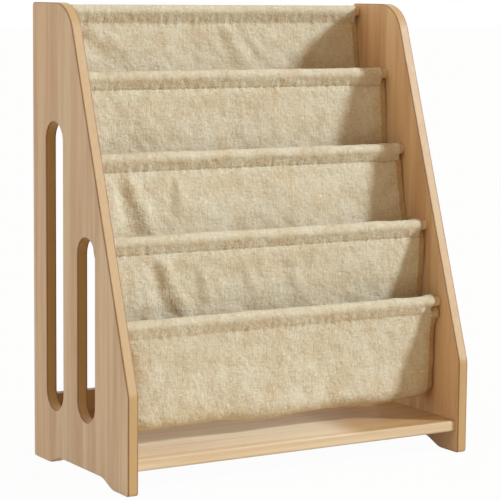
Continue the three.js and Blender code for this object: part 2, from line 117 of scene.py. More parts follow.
# %% [markdown]
# ## The room
# The rest of the light comes from all sides, off walls and floor, and it is dim and warm. The world
# stands for it. The background of the photograph is pure white, though, and a world that bright would
# wash out every shadow. So two worlds are mixed: rays that show the background, from the camera or by
# way of metal and glass, see plain white, and rays that light the bookshelf see the room.

# %% Light the room
ROOM_STRENGTH = 0.4
ROOM_COLOUR = (1.0, 0.66, 0.385, 1)
WHITE = (1, 1, 1, 1)
SHOWING_RAYS = ["Is Camera Ray", "Is Glossy Ray", "Is Transmission Ray"]


def join(tree, source, target):
    tree.links.new(source, target)


def showing_rays(tree):
    """A socket that is 1 for rays that show the background and 0 for the rest."""
    path = tree.nodes.new("ShaderNodeLightPath")
    socket = path.outputs[SHOWING_RAYS[0]]
    for kind in SHOWING_RAYS[1:]:
        either = tree.nodes.new("ShaderNodeMath")
        either.operation = "MAXIMUM"
        join(tree, socket, either.inputs[0])
        join(tree, path.outputs[kind], either.inputs[1])
        socket = either.outputs[0]
    return socket


def background(tree, colour, strength):
    made = tree.nodes.new("ShaderNodeBackground")
    made.inputs["Color"].default_value = colour
    made.inputs["Strength"].default_value = strength
    return made.outputs[0]


world = bpy.data.worlds.new("room")
bpy.context.scene.world = world
world.use_nodes = True
sky = world.node_tree
sky.nodes.clear()
choice = sky.nodes.new("ShaderNodeMixShader")
join(sky, showing_rays(sky), choice.inputs[0])
join(sky, background(sky, ROOM_COLOUR, ROOM_STRENGTH), choice.inputs[1])
join(sky, background(sky, WHITE, 1), choice.inputs[2])
sky_output = sky.nodes.new("ShaderNodeOutputWorld")
join(sky, choice.outputs[0], sky_output.inputs["Surface"])
print("room light:", ROOM_STRENGTH, "of", ROOM_COLOUR[:3])

# %% [markdown]
# ## The floor
# The floor in the photograph is almost pure white, with only a trace of a shadow. Light alone can't make
# a matt floor that even. So to the rays that show the background it is nearly all white glow, with a few
# parts of matt paint that keep the shadow, and to the rays that light the bookshelf it is a warm, pale
# floor that sends some light back up.

# %% Lay the floor
FLOOR_HALF = 30.0
FLOOR_CORNERS = [(-1, -1), (1, -1), (1, 1), (-1, 1)]
FLOOR_COLOUR = (0.7, 0.62, 0.5, 1)
FLOOR_WHITE_SHARE = 0.97

floor_mesh = bpy.data.meshes.new("floor")
floor_points = [(x * FLOOR_HALF, y * FLOOR_HALF, 0) for x, y in FLOOR_CORNERS]
floor_mesh.from_pydata(floor_points, [], [(0, 1, 2, 3)])
floor = bpy.data.objects.new("floor", floor_mesh)
bpy.context.scene.collection.objects.link(floor)

floor_finish = bpy.data.materials.new("floor_white")
floor_finish.use_nodes = True
paint = floor_finish.node_tree
paint.nodes.clear()
matt = paint.nodes.new("ShaderNodeBsdfDiffuse")
matt.inputs["Color"].default_value = FLOOR_COLOUR
glow = paint.nodes.new("ShaderNodeEmission")
glow.inputs["Strength"].default_value = 1
share = paint.nodes.new("ShaderNodeMath")
share.operation = "MULTIPLY"
share.inputs[1].default_value = FLOOR_WHITE_SHARE
join(paint, showing_rays(paint), share.inputs[0])
blend = paint.nodes.new("ShaderNodeMixShader")
join(paint, share.outputs[0], blend.inputs[0])
join(paint, matt.outputs[0], blend.inputs[1])
join(paint, glow.outputs[0], blend.inputs[2])
floor_output = paint.nodes.new("ShaderNodeOutputMaterial")
join(paint, blend.outputs[0], floor_output.inputs["Surface"])
floor_mesh.materials.append(floor_finish)
print("floor:", 2 * FLOOR_HALF, "m wide")

# %% [markdown]
# ## A short way to write a finish
# A finish is a chain of nodes from a place on the surface to a colour, a roughness and a bump. Wiring
# them one by one takes many lines, so a small class adds a node, joins its inputs and hands back its
# output. Most colours are built as a painter would: a ground, and over it thin layers of other tones,
# each where a pattern is strong. Anything that is the same all over is set on the shader itself.

# %% Define the finish helper
class Finish:
    """A material under construction. Each method adds a node and gives back the socket it made."""

    def __init__(self, name):
        self.material = bpy.data.materials.new(name)
        self.material.use_nodes = True
        self.tree = self.material.node_tree
        self.tree.nodes.clear()

    def node(self, kind, inputs, output=0, **settings):
        made = self.tree.nodes.new("ShaderNode" + kind)
        for key, value in settings.items():
            setattr(made, key, value)
        for key, value in inputs.items():
            if isinstance(value, bpy.types.NodeSocket):
                join(self.tree, value, made.inputs[key])
            else:
                made.inputs[key].default_value = value
        return made.outputs[output]

    def maths(self, operation, first, second=0.0):
        return self.node("Math", {0: first, 1: second}, operation=operation)

    def split(self, place):
        made = self.tree.nodes.new("ShaderNodeSeparateXYZ")
        join(self.tree, place, made.inputs[0])
        return dict(zip("xyz", made.outputs))

    def combine(self, x, y, z):
        return self.node("CombineXYZ", {0: x, 1: y, 2: z})

    def noise(self, place, scale, detail=2.0, roughness=0.5):
        inputs = {"Vector": place, "Scale": scale, "Detail": detail, "Roughness": roughness}
        return self.node("TexNoise", inputs)

    def between(self, value, span, result=(0.0, 1.0)):
        """Moves a value from one range to another, smoothly and without leaving it."""
        names = ("From Min", "From Max", "To Min", "To Max")
        inputs = {"Value": value, **dict(zip(names, (*span, *result)))}
        return self.node("MapRange", inputs, interpolation_type="SMOOTHSTEP")

    def mix(self, factor, first, second, blend="MIX"):
        inputs = {"Factor": factor, 6: first, 7: second}
        return self.node("Mix", inputs, output=2, data_type="RGBA", blend_type=blend)

    def layer(self, colour, pattern, settings, tone, blend="MIX"):
        """Lays a tone over a colour where a pattern is strong. Settings are a span and a strength."""
        span, strength = settings
        return self.mix(self.between(pattern, span, (0.0, strength)), colour, tone, blend)

    def bump(self, height, strength, depth, normal=None):
        inputs = {"Height": height, "Strength": strength, "Distance": depth}
        if normal is not None:
            inputs["Normal"] = normal
        return self.node("Bump", inputs)

    def shade(self, **inputs):
        """Ends the material with a shader that has these inputs."""
        named = {key.replace("_", " "): value for key, value in inputs.items()}
        shader = self.node("BsdfPrincipled", named)
        output = self.tree.nodes.new("ShaderNodeOutputMaterial")
        join(self.tree, shader, output.inputs["Surface"])
        return self.material


print("steps of a finish:", [step for step in vars(Finish) if not step.startswith("_")])

# %% [markdown]
# ## Colours as they look
# A shader works in amounts of light, and a screen doesn't: half the light looks much brighter than half
# grey. Colours are easier to judge as they look, so they are written that way, from 0 to 255, and turned
# into amounts of light here.

# %% Write colours
LINEAR_PART = 0.04045


def grey(value):
    return (value, value, value, 1)


def srgb(red, green, blue):
    """The light values that a shader wants for a colour as it looks, by the standard curve of a screen."""
    shares = [channel / 255 for channel in (red, green, blue)]
    light = [s / 12.92 if s <= LINEAR_PART else ((s + 0.055) / 1.055) ** 2.4 for s in shares]
    return (*light, 1)


print("half grey sends", round(srgb(128, 128, 128)[0], 2), "of the light")

# %% [markdown]
# ## Wood: staves and grain
# The boards are pale pine or rubberwood, glued up from staves about 40 mm wide and coated with a matt
# clear lacquer. An image of wood would be one way to finish them. A solid pattern is better here: it is
# worked out from the place in the board, so the grain runs through faces and edges alike. Each stave
# gets its own tone and its own piece of grain, and the grain is a noise that is stretched along it.

# %% Define the grain
STAVE_WIDTH = 0.041
STAVE_SHIFT = 0.013
STAVE_LAYER = ((0.1, 0.9), 1.0)
JOINT_LAYER = ((0.012, 0.0), 0.35)
LINE_TONE = srgb(160, 108, 58)
GRAIN_STRETCH = 0.035
GRAIN_JUMP = 7.0
BROAD_GRAIN = 46.0
BROAD_LAYER = ((0.4, 0.64), 0.8)
FINE_GRAIN = 420.0
FINE_DETAIL = 4.0
FINE_ROUGHNESS = 0.65
FINE_LAYER = ((0.5, 0.7), 0.2)


def grain(finish, along, across, through):
    """The count of staves up to each place, a chance number for each stave, and two grains."""
    count = finish.maths("DIVIDE", finish.maths("ADD", across, STAVE_SHIFT), STAVE_WIDTH)
    stave = finish.maths("FLOOR", count)
    chance = finish.node("TexWhiteNoise", {"W": stave}, output="Value", noise_dimensions="1D")
    run = finish.maths("MULTIPLY", along, GRAIN_STRETCH)
    run = finish.maths("ADD", run, finish.maths("MULTIPLY", chance, GRAIN_JUMP))
    place = finish.combine(across, run, through)
    broad = finish.noise(place, BROAD_GRAIN)
    fine = finish.noise(place, FINE_GRAIN, FINE_DETAIL, FINE_ROUGHNESS)
    return count, chance, broad, fine


def stave_colour(finish, tones, count, chance, broad, fine):
    """Staves from light to dark, with streaks, and a thin line where two are glued together."""
    light, dark, streak = tones
    colour = finish.layer(light, chance, STAVE_LAYER, dark)
    colour = finish.layer(colour, broad, BROAD_LAYER, streak)
    colour = finish.layer(colour, fine, FINE_LAYER, streak, "MULTIPLY")
    return finish.layer(colour, finish.maths("FRACT", count), JOINT_LAYER, LINE_TONE, "MULTIPLY")


print("staves:", round(1000 * STAVE_WIDTH), "mm wide")

# %% [markdown]
# ## Wood: edges
# In the photograph the cut edges of the boards are browner than their faces, and a thin dark line runs
# along the arris, the rounded corner between the two. Painting that by hand would need a second finish.
# The Bevel node makes the light turn softly round a sharp corner without changing the mesh, and the
# direction it gives also tells a face from an edge, so one finish does both. The right end of the shelf
# gets painted shade: a slow change along the board darkens its faces where the shadow of the right
# board and the lowest pocket lies.

# %% Define the edges
ARRIS_RADIUS = 0.0025
ARRIS_SAMPLES = 4
ARRIS_SPAN = (0.04, 0.17)
EDGE_TONE = srgb(197, 160, 105)
EDGE_SPAN = (0.6, 0.2)
# Painted shade: a darker tone laid over the faces at the right end of the shelf, which lies in shadow.
SHELF_END_SHADE_TONE = srgb(214, 191, 158)
SHELF_END_SHADE_SPAN = (0.065, 0.135)


def with_edges(finish, colour, along, side, shares):
    """Adds painted shade at the right end, edges and arrises. Side is 1 on a face, 0 on an edge."""
    edge_share, arris_share, end_shade_share = shares
    # Painted shade: darkens the faces towards the right end of the board.
    end_shade = finish.between(along, SHELF_END_SHADE_SPAN, (0.0, end_shade_share))
    colour = finish.mix(finish.maths("MULTIPLY", end_shade, side), colour, SHELF_END_SHADE_TONE, "MULTIPLY")
    colour = finish.layer(colour, side, (EDGE_SPAN, edge_share), EDGE_TONE)
    turning = finish.maths("MULTIPLY", side, finish.maths("SUBTRACT", 1.0, side))
    return finish.layer(colour, turning, (ARRIS_SPAN, arris_share), LINE_TONE, "MULTIPLY")


print("arris:", 1000 * ARRIS_RADIUS, "mm round")

# %% [markdown]
# ## Wood: five kinds
# The two side boards, the shelf, the rail and the rods each get three tones, light, dark and streak, and
# three shares, which say how much of the edge, the arris and the painted shade at the end they show. The
# right board is the same wood as the left, but darker and warmer: its tones paint the shade on its
# inner face. The letters name the axes of the grain, the staves and the faces.

# %% Mix the woods
NOISE_MIDDLE = (0.3, 0.7)
WOOD_ROUGHNESS = (0.42, 0.6)
GRAIN_BUMP = 0.35
GRAIN_DEPTH = 0.0004
LACQUER_WEIGHT = 0.1
LACQUER_ROUGHNESS = 0.35
LEFT_TONES = (srgb(202, 171, 135), srgb(201, 165, 127), srgb(182, 144, 106))
# Painted shade: the right board's tones are darker and warmer than the left's, for the shade on its inner
# face.
RIGHT_SHADED_TONES = (srgb(212, 170, 122), srgb(206, 158, 110), srgb(188, 140, 92))
ROD_TONES = (srgb(230, 204, 162), srgb(226, 194, 150), srgb(210, 176, 130))
SHELF_TONES = (srgb(236, 216, 184), srgb(232, 206, 170), srgb(220, 190, 150))
RAIL_TONES = (srgb(205, 176, 138), srgb(198, 164, 124), srgb(180, 144, 104))
PANEL_SHARES = (0.85, 0.8, 0.0)
# The shelf's third share puts painted shade on its right end.
SHELF_SHARES = (0.2, 0.12, 1.0)
RAIL_SHARES = (0.2, 0.3, 0.0)
ROD_SHARES = (0.0, 0.0, 0.0)


def wood(name, axes, tones, shares):
    """Wood with its grain along the first axis, staves across the second and the faces at the third."""
    finish = Finish(name)
    axis = finish.split(finish.node("TexCoord", {}, output="Object"))
    along, across, through = [axis[letter] for letter in axes]
    count, chance, broad, fine = grain(finish, along, across, through)
    colour = stave_colour(finish, tones, count, chance, broad, fine)
    normal = finish.node("Bevel", {"Radius": ARRIS_RADIUS}, samples=ARRIS_SAMPLES)
    side = finish.maths("ABSOLUTE", finish.split(normal)[axes[2]])
    return finish.shade(
        Base_Color=with_edges(finish, colour, along, side, shares),
        Roughness=finish.between(fine, NOISE_MIDDLE, WOOD_ROUGHNESS),
        Normal=finish.bump(fine, GRAIN_BUMP, GRAIN_DEPTH, normal),
        Coat_Weight=LACQUER_WEIGHT,
        Coat_Roughness=LACQUER_ROUGHNESS,
    )


finishes = {
    "left": wood("left_panel_wood", "zyx", LEFT_TONES, PANEL_SHARES),
    "right": wood("right_panel_wood_shaded", "zyx", RIGHT_SHADED_TONES, PANEL_SHARES),
    "shelf": wood("shelf_wood", "xyz", SHELF_TONES, SHELF_SHARES),
    "rail": wood("rail_wood", "xzy", RAIL_TONES, RAIL_SHARES),
    "rod": wood("rod_wood", "xyz", ROD_TONES, ROD_SHARES),
}
print("wood finishes:", sorted(finishes))

# %% [markdown]
# ## Metal fittings
# Bolts are zinc plated steel, and the cams are cast zinc with a grainy skin. They hide in the boards and
# only show from below, so a small noise in roughness and bump is enough to keep them from looking new.

# %% Define the metal finishes
SKIN_DETAIL = 3.0
SKIN_BUMP = 0.3
CLOUD_SHARE = 0.1
DULL_METAL = grey(0.45)
SMOOTHER = 0.1
ROUGHER = 0.12


def metal(name, colour, skin_scale, roughness, depth):
    """Metal whose skin has grains of a given scale, which stand out by a depth in metres."""
    finish = Finish(name)
    place = finish.node("TexCoord", {}, output="Object")
    skin = finish.noise(place, skin_scale, SKIN_DETAIL)
    cloud = finish.noise(place, skin_scale * CLOUD_SHARE)
    return finish.shade(
        Base_Color=finish.layer(colour, cloud, (NOISE_MIDDLE, 1.0), DULL_METAL),
        Metallic=1.0,
        Roughness=finish.between(skin, NOISE_MIDDLE, (roughness - SMOOTHER, roughness + ROUGHER)),
        Normal=finish.bump(skin, SKIN_BUMP, depth),
    )


finishes["bolt"] = metal("bolt_steel", grey(0.62), skin_scale=900.0, roughness=0.35, depth=0.0001)
finishes["cam"] = metal("cam_zinc", grey(0.5), skin_scale=1400.0, roughness=0.5, depth=0.0002)
print("finishes:", len(finishes))

# %% [markdown]
# ## Dress the packed model
# The name of a node says what it is made of, so one loop gives every carried-over piece its finish. The
# shapes and places stay as they were packed.

# %% Give each node its finish
FINISH_WORDS = {
    "bolt": "bolt",
    "cam": "cam",
    "dowel": "rod",
    "rod": "rod",
    "panel_left": "left",
    "panel_right": "right",
    "shelf": "shelf",
    "rail": "rail",
}


def finish_for(node):
    """The finish for the first word in the list that is in the node's name."""
    return finishes[next(kind for word, kind in FINISH_WORDS.items() if word in node)]


stiff = {name: piece for name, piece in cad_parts.items() if "sling" not in name}
for name, piece in stiff.items():
    for number in range(len(piece.data.materials)):
        piece.data.materials[number] = finish_for(name)
print("dressed:", len(stiff), "nodes")

# %% [markdown]
# ## The rods, seen from the side
# Each sling hangs between two rods. Their places could be typed in again, but the packed model knows
# them, and a change there then reaches the cloth as well. Seen from the side, a place is two numbers:
# how far to the front it is, and how high, both in metres. Cloth on a rod goes round a slightly larger
# circle, because it has a thickness and isn't glued on.

# %% Find the rods
ROD_NAMES = ["top_rod", "tier_1_rod", "tier_2_rod", "tier_3_rod", "tier_4_rod"]
CAD_CLOTH = 0.0015
ROD_GAP = 0.0003


def side_view(node):
    """The middle of a node as seen from the side."""
    low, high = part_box(node)
    return Vector((-(low[1] + high[1]) / 2, (low[2] + high[2]) / 2))


rods = [side_view(name) for name in ROD_NAMES]
rod_low, rod_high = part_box(ROD_NAMES[0])
ROD_RADIUS = (rod_high[2] - rod_low[2]) / 2
WRAP_RADIUS = ROD_RADIUS + ROD_GAP + CAD_CLOTH / 2
SHELF_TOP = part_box("bottom_shelf")[1][2]
LOWEST = len(rods) - 2
print("rods:", [(round(rod.x, 3), round(rod.y, 3)) for rod in rods])

# %% [markdown]
# ## Straight runs and arcs
# Cloth that hangs is straight where it is pulled and round where it turns. Lines and arcs that touch
# each other without a corner make that shape from very few sizes. All that they need is the place where
# a line from a seam touches a circle: a rod, or the round bottom of a pocket.

# %% Draw arcs that touch
ARC_STEPS = 24
SEAM_TAIL = 0.006


def touch_angle(point, centre, radius, hand):
    """Where a straight line from a point outside touches a circle."""
    arm = point - centre
    return math.atan2(arm.y, arm.x) + hand * math.acos(radius / arm.length)


def arc(centre, radius, start, end):
    angles = [start + (end - start) * i / ARC_STEPS for i in range(ARC_STEPS + 1)]
    return [centre + radius * Vector((math.cos(angle), math.sin(angle))) for angle in angles]


def over_rod(rod, front_foot, back_foot):
    """Up in front of a rod, over it and down behind, with a short tail below the seam."""
    start = touch_angle(front_foot, rod, WRAP_RADIUS, 1)
    end = touch_angle(back_foot, rod, WRAP_RADIUS, -1) + 2 * math.pi
    tail = back_foot - Vector((0, SEAM_TAIL))
    return [front_foot, *arc(rod, WRAP_RADIUS, start, end), back_foot, tail]


print("cloth goes round a rod at", round(1000 * WRAP_RADIUS, 2), "mm")

# %% [markdown]
# ## The line that a sling follows
# A sling starts at a seam below the rod behind it, hangs down, turns round the bottom of its pocket,
# comes up to the rod in front, goes over it and is sewn to itself behind. The first sling also goes over
# the top rod. The photograph shows how low the lowest pocket hangs. The bottoms of the others are out
# of sight, and no deeper than the slots in the left board would show. Two shares place each pocket's
# round bottom between its rods.

# %% Lay out the line
SEAM_DROP = 0.020
POCKET_DROP = 0.062
SHELF_CLEARANCE = 0.027
POCKET_CENTRE_SHARES = [0.517, 0.57, 0.664, 0.325]
POCKET_RADIUS_SHARES = [0.322, 0.36, 0.286, 0.588]


def sling_corners(tier):
    """The line's runs as lists of points: over the rod behind, the pocket, and over the rod in front."""
    behind, front = rods[tier], rods[tier + 1]
    back_seam = behind - Vector((0, SEAM_DROP))
    front_seam = front - Vector((0, SEAM_DROP))
    wrap = []
    if tier == 0:
        wrap = over_rod(behind, back_seam, back_seam - Vector((CAD_CLOTH, 0)))[::-1]
    else:
        back_seam = back_seam + Vector((CAD_CLOTH + ROD_GAP, -ROD_GAP))
    spacing = front.x - behind.x
    radius = POCKET_RADIUS_SHARES[tier] * spacing
    bottom = SHELF_TOP + SHELF_CLEARANCE if tier == LOWEST else front.y - POCKET_DROP
    centre = Vector((behind.x + POCKET_CENTRE_SHARES[tier] * spacing, bottom + radius))
    start = touch_angle(back_seam, centre, radius, 1)
    end = touch_angle(front_seam, centre, radius, -1) + 2 * math.pi
    pocket = [back_seam, *arc(centre, radius, start, end), front_seam]
    return wrap, pocket, over_rod(front, front_seam, front_seam - Vector((CAD_CLOTH, 0)))


print("corners of each line:", [sum(len(run) for run in sling_corners(tier)) for tier in range(LOWEST + 1)])

# %% [markdown]
# ## Even steps along the line
# The corners of the line are close together on the arcs and far apart on the straight runs. Folds need
# the same small step everywhere, so the line is walked at an even pace. Each step also keeps the way
# out, the direction in which a fold pushes the cloth away from the inside of the pocket.

# %% Walk along the line
LINE_STEP = 0.0025


def lengths_along(points):
    steps = [(b - a).length for a, b in zip(points, points[1:])]
    return np.concatenate([[0.0], np.cumsum(steps)])


def sling_line(tier):
    """Even steps along the line, with the way out of the pocket at each, and where its runs end."""
    wrap, pocket, sleeve = sling_corners(tier)
    points = wrap[:-1] + pocket + sleeve[1:]
    along = lengths_along(points)
    steps = np.linspace(0, along[-1], int(round(along[-1] / LINE_STEP)) + 1)
    place = np.array([np.interp(steps, along, [p[i] for p in points]) for i in range(2)]).T
    way = np.gradient(place, axis=0)
    way /= np.linalg.norm(way, axis=1)[:, None]
    first = max(len(wrap) - 1, 0)
    return {
        "steps": steps,
        "place": place,
        "out": np.stack([way[:, 1], -way[:, 0]], axis=1),
        "starts": along[first],
        "ends": along[first + len(pocket) - 1],
        "length": along[-1],
    }


lines = [sling_line(tier) for tier in range(LOWEST + 1)]
for tier, line in enumerate(lines):
    pocket_length = line["ends"] - line["starts"]
    print(f"sling {tier + 1}: {line['length']:.3f} m long, pocket {pocket_length:.3f} m")

# %% [markdown]
# ## Folds: soft steps and soft noise
# Linen never hangs as a plain curve. A cloth simulation would make folds, but of its own choosing, and
# they would differ from the photograph. Here each fold is a gentle push along the cloth's way out, so
# it goes where it should, and the seams stay on their rods. Two helpers do most of the work: a step
# without a corner, and a noise that is the same on every run.

# %% Define soft steps and noise
def smooth(low, high, value):
    """0 before the first value, 1 after the second, and a smooth step between them."""
    share = np.clip((value - low) / (high - low), 0, 1)
    return share * share * (3 - 2 * share)


def rumple(x, y, size, seed):
    """Smooth noise over the flat cloth, about -0.5 to 0.5."""
    grids = np.broadcast_arrays(x / size, y / size)
    spots = np.stack(grids, axis=-1).reshape(-1, 2)
    heights = [noise.noise((a, b, seed)) for a, b in spots]
    return np.array(heights).reshape(grids[0].shape)


print("a quarter of the way:", smooth(0.0, 1.0, 0.25))

# %% [markdown]
# ## Folds: creases
# Where a corner of the cloth is pulled, it keeps a crease. The photograph shows a deep one and a softer
# one at the left of the third sling, a row of soft ones in the fourth, and a few faint ones in the
# first. Each is a valley with a ridge beside it, along a line from a top to a bottom point. A point is
# how far across and how high it is, and then come the crease's width and depth, all in metres.

# %% Draw the creases
CREASES = {
    0: [
        ((0.010, 0.690), (0.045, 0.610), 0.012, 0.0015),
        ((0.060, 0.665), (0.098, 0.615), 0.009, 0.0011),
        ((-0.245, 0.680), (-0.170, 0.615), 0.015, 0.0016),
    ],
    2: [
        ((-0.240, 0.452), (-0.214, 0.350), 0.016, 0.0046),
        ((-0.146, 0.452), (-0.152, 0.400), 0.009, 0.0020),
    ],
    3: [
        ((-0.218, 0.335), (-0.184, 0.235), 0.015, 0.0034),
        ((-0.146, 0.320), (-0.134, 0.250), 0.012, 0.0015),
        ((-0.062, 0.315), (-0.052, 0.250), 0.013, 0.0013),
        ((0.022, 0.300), (0.034, 0.250), 0.014, 0.0011),
    ],
}
CREASE_STARTS = (-0.15, 0.25)
CREASE_ENDS = (1.3, 0.8)
CREASE_TOP_WIDTH = 0.6
CREASE_SPREAD = 0.6
RIDGE_SHIFT = 1.7


def crease_push(x, z, start, end, width, depth):
    """A valley along a line with a ridge on its left, fading out at its ends."""
    way = np.array(end) - np.array(start)
    length = np.linalg.norm(way)
    way /= length
    off_x, off_z = x - start[0], z - start[1]
    run = (off_x * way[0] + off_z * way[1]) / length
    off = off_x * way[1] - off_z * way[0]
    fade = smooth(*CREASE_STARTS, run) * smooth(*CREASE_ENDS, run)
    wide = width * (CREASE_TOP_WIDTH + CREASE_SPREAD * np.clip(run, 0, 1))
    valley = np.exp(-(off / wide) ** 2)
    ridge = np.exp(-((off + RIDGE_SHIFT * wide) / wide) ** 2)
    return depth * fade * (ridge - valley)


print("creases:", sum(len(found) for found in CREASES.values()))

# %% [markdown]
# ## Folds: sag, ripples and curled edges
# Between its rods the cloth sags in the middle and ripples a little across its width. Broad swells and
# small wrinkles lie over that. All of them fade out at the seams, where the rods hold the cloth. The
# creases go on the back wall, which is the one that shows above the next rod. The side edges of the
# front wall curl in, most of all on the lowest pocket, and on the left over a wider strip.

# %% Push the cloth into folds
INNER_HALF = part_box("side_panel_right")[0][0]
END_GAP = 0.0015
SLING_HALF = INNER_HALF - END_GAP
SAG = 0.003
RIPPLE = 0.002
RIPPLE_COUNT = 3
RIPPLE_SLANT = 0.4
SWELL = 0.0024
SWELL_SIZE = 0.085
WRINKLE = 0.0015
WRINKLE_SIZE = 0.023
TIER_SEED = 11.0
WRINKLE_SEED = 3
SEAM_HOLD = 0.03
BACK_WALL = (0.62, 0.45)
CREASE_HOLD = 0.012
FRONT_WALL = (0.5, 0.62)
CURL_DEPTHS = [0.002, 0.002, 0.002, 0.007]
CURL_WIDTH = 0.032
LEFT_CURL_WIDTH = 0.058
LEFT_CURL_SHARE = 1.8


def curl(across, below_sleeve):
    """How much of the curl's depth each point of the front wall gets."""
    right_edge = smooth(1 - CURL_WIDTH / SLING_HALF, 1, across)
    left_edge = smooth(1 - LEFT_CURL_WIDTH / SLING_HALF, 1, -across)
    return right_edge**2 + below_sleeve * LEFT_CURL_SHARE * left_edge**2


def folds(tier, x, across, line):
    """How far each point of a sling is pushed out of the pocket."""
    steps = line["steps"][:, None]
    share = np.clip((steps - line["starts"]) / (line["ends"] - line["starts"]), 0, 1)
    from_seam = np.minimum(np.abs(steps - line["starts"]), np.abs(steps - line["ends"]))
    hold = np.sin(math.pi * share) ** 2
    push = hold * SAG * (1 - across**2)
    push = push + hold * RIPPLE * np.cos(math.pi * (RIPPLE_COUNT * across + RIPPLE_SLANT * share))
    away = smooth(0, SEAM_HOLD, from_seam)
    free = away * (steps > line["starts"])
    push = push + free * SWELL * rumple(x, steps, SWELL_SIZE, TIER_SEED * tier)
    push = push + free * WRINKLE * rumple(x, steps, WRINKLE_SIZE, TIER_SEED * tier + WRINKLE_SEED)
    z = line["place"][:, 1][:, None]
    back_wall = smooth(*BACK_WALL, share) * smooth(0, CREASE_HOLD, from_seam)
    for start, end, width, depth in CREASES.get(tier, []):
        push = push - back_wall * crease_push(x, z, start, end, width, depth)
    front_wall = smooth(*FRONT_WALL, share) * away
    return push - front_wall * CURL_DEPTHS[tier] * curl(across, steps < line["ends"])


print("cloth is", round(2000 * SLING_HALF), "mm wide and sags", 1000 * SAG, "mm more in the middle")

# %% [markdown]
# ## Gathers at the seams
# The seam below each rod is sewn through two layers and pulls them in, so the sleeve above it is full of
# short upright gathers. A noise that is stretched upwards makes them. They are deepest at the seam, and
# gone where the cloth lies tight on the rod. Both layers of a sleeve take the same noise, with opposite
# hands, so that they move together and don't pass through each other.

# %% Gather the cloth
PUCKER = 0.0021
PUCKER_SIZE = 0.0080
PUCKER_STRETCH = 0.3
PUCKER_RISE = (0.018, 0.003)
PUCKER_FALL = (-0.009, 0)
PUCKER_SEED = 40.0
ROD_SEED = 7
EVEN_SHARE = 0.7
UNEVEN_SHARE = 0.8
UNEVEN_SIZE = 0.05
UNEVEN_SEED = 5.0


def runs_beside_seams(tier, line):
    """Each run beside a seam: its rod, its height above the seam, and the hand of its way out."""
    steps = line["steps"][:, None]
    runs = [
        (tier + 1, steps - line["ends"], 1),
        (tier + 1, line["length"] - SEAM_TAIL - steps, -1),
        (tier, line["starts"] - steps, -1),
    ]
    if tier == 0:
        runs.append((0, steps - SEAM_TAIL, 1))
    return runs


def puckers(tier, x, line):
    """How far the gathers push the cloth out, above and below each of its seams."""
    push = np.zeros((len(line["steps"]), 1))
    for rod, height, hand in runs_beside_seams(tier, line):
        near = smooth(*PUCKER_RISE, height) * smooth(*PUCKER_FALL, height)
        stretched = height * PUCKER_STRETCH
        uneven = rumple(x, stretched, UNEVEN_SIZE, UNEVEN_SEED + rod)
        uneven = EVEN_SHARE + UNEVEN_SHARE * np.abs(uneven)
        gathers = rumple(x, stretched, PUCKER_SIZE, PUCKER_SEED + ROD_SEED * rod)
        push = push + hand * near * uneven * gathers
    return PUCKER * push


print("gathers:", round(1000 * PUCKER_SIZE, 1), "mm apart")

# %% [markdown]
# ## Ragged top edges, and room for the rods
# The top edge of a sling is caught in the seam behind a rod. It comes out a little uneven, which breaks
# up the straight dark line below the sleeve, as in the photograph. The last helper is a safeguard: where
# a fold would push the cloth into a rod, it is moved back out.

# %% Finish the top edge and keep off the rods
RAGGED = 0.0030
RAGGED_REST = 0.35
RAGGED_SIZE = 0.0045
RAGGED_SEED = 90.0
ROD_PUSH = 1.5


def ragged_top(tier, x):
    """How far the sewn top edge of a sling rises into the dark below the sleeve that carries it."""
    if tier == 0:
        return np.zeros_like(x)
    return RAGGED * (RAGGED_REST + rumple(x, np.zeros_like(x), RAGGED_SIZE, RAGGED_SEED + tier))


def moved_out(line, distance):
    """The points of the line moved along their way out, one distance for each point of the grid."""
    return line["place"][:, None, :] + line["out"][:, None, :] * distance[:, :, None]


def clear_of_rod(push, half, line, rod, side):
    """Keeps the face beside a rod off it. Side says on which side of the cloth the rod is."""
    face = moved_out(line, push + side * half)
    short = ROD_RADIUS + ROD_GAP / 2 - np.linalg.norm(face - np.array(rod), axis=2)
    return push - side * ROD_PUSH * np.clip(short, 0, None)


print("top edges rise", round(1000 * RAGGED * RAGGED_REST, 1), "mm on average")

# %% [markdown]
# ## Across the cloth
# The cloth is a grid: columns across the bookshelf, rows along the line. A woven tape binds the two side
# edges, and extra columns give it a clear step. In the photograph the ends of the rods are bare on the
# right, so the sleeve is cut narrower where it shows, and wide again behind the rod.

# %% Lay out the columns and the sleeves
COLUMN_STEP = 0.003
TAPE_WIDTH = 0.0115
TAPE_STEP = 0.0006
SLEEVE_STARTS = (-0.002, 0.006)
SLEEVE_TURN = 0.004
BEHIND_ROD = 0.6


def columns():
    """Places across the cloth, with extra ones at the step of each tape."""
    even = np.linspace(-1, 1, int(2 * SLING_HALF / COLUMN_STEP) + 1) * SLING_HALF
    step = SLING_HALF - TAPE_WIDTH
    extra = [side * (step + shift) for side in (-1, 1) for shift in (-TAPE_STEP, TAPE_STEP)]
    return np.unique(np.concatenate([even, extra]))


def sleeve_share(line, rod, seam, hand):
    """1 on the front of a sleeve, 0 on the walls and on the part behind the rod."""
    past = hand * (line["steps"] - seam)
    behind = (past > 0) & (line["place"][:, 0] < rod.x - BEHIND_ROD * WRAP_RADIUS)
    turn = past[behind].min()
    return smooth(*SLEEVE_STARTS, past) * smooth(turn + SLEEVE_TURN, turn - SLEEVE_TURN, past)


print("columns:", len(columns()))

# %% [markdown]
# ## Where each point of a sling goes
# Four things describe a point of the grid: where it lies across, how far it is pushed out, whether it is
# on the tape, and half the cloth's thickness there. The tape is a little thicker than the cloth. The top
# edge of a hanging sling is pressed thin against the sleeve that carries it, or it would stand off it
# and show as a thick lip.

# %% Place the points
CLOTH = 0.0013
TAPE_EXTRA = 0.0009
PRESSED_LENGTH = 0.007
PRESSED_SHARE = 0.6
SLEEVE_INSETS = [0.007, 0.010, 0.006, 0.011, 0.0135]
LEFT_INSET_SHARE = 0.3


